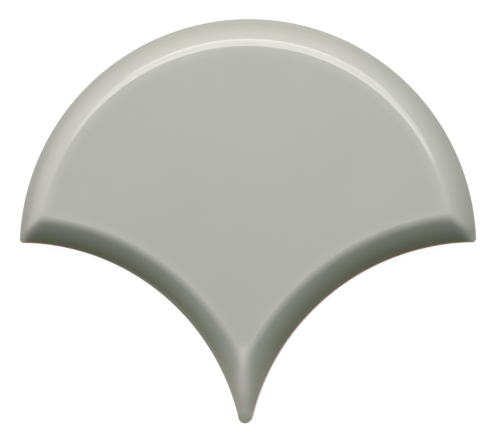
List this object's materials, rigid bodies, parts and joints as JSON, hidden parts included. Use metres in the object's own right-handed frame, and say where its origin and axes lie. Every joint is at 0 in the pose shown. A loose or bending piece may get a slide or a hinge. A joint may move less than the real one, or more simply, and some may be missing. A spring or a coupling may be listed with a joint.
{
  "type": "fish scale tile",
  "caption": "Glazed ceramic wall tile with a round dome, two hollow flanks and a narrow stem, a flat face and a bevelled edge all round, made to nest with like tiles.",
  "frame": {"origin": "on the back, under the middle of the tile's bounding box", "axes": "+Z out of the glazed face, +Y towards the top of the dome, +X across the tile to the right horn seen from the face"},
  "size_m": [0.1498, 0.1323, 0.011],
  "materials": {
    "glazed_clay": "gloss grey glaze on the face and the upper wall, bare pale clay below and on the back"
  },
  "bodies": {
    "root": {"fish_scale_tile": "glazed_clay"}
  },
  "joints": []
}
